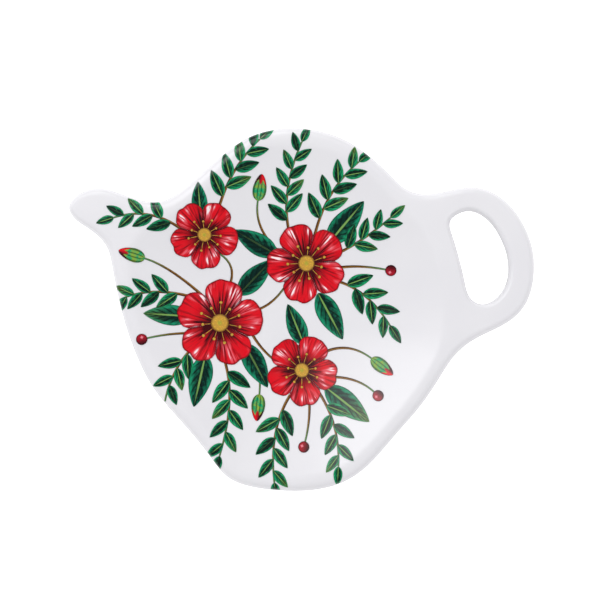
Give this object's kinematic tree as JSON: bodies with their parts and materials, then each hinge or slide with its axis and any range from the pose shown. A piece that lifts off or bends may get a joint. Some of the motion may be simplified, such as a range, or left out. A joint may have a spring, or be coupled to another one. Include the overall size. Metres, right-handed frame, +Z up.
{
  "type": "tea bag rest",
  "caption": "Shallow one-piece dish in the outline of a teapot that holds a used tea bag, with a loop handle and a printed spray of blossoms.",
  "frame": {"origin": "on the table under the middle of the outline's length and width, at the face of the foot ring", "axes": "+X from the spout to the loop handle, +Y towards the domed top of the outline, +Z up out of the dish"},
  "size_m": [0.125, 0.0974, 0.0113],
  "materials": {
    "melamine": "glossy moulded",
    "stem_ink": "ink under the glossy face",
    "broad_leaf_ink": "ink under the glossy face",
    "leaf_ink": "ink under the glossy face",
    "bud_ink": "ink under the glossy face",
    "berry_ink": "ink under the glossy face",
    "blossom_ink": "ink under the glossy face",
    "centre_ink": "ink under the glossy face"
  },
  "bodies": {
    "root": {"tray_body": "melamine", "stem_print": "stem_ink", "broad_leaf_print": "broad_leaf_ink", "leaf_print": "leaf_ink", "bud_print": "bud_ink", "berry_print": "berry_ink", "blossom_print": "blossom_ink", "centre_print": "centre_ink"}
  },
  "joints": []
}
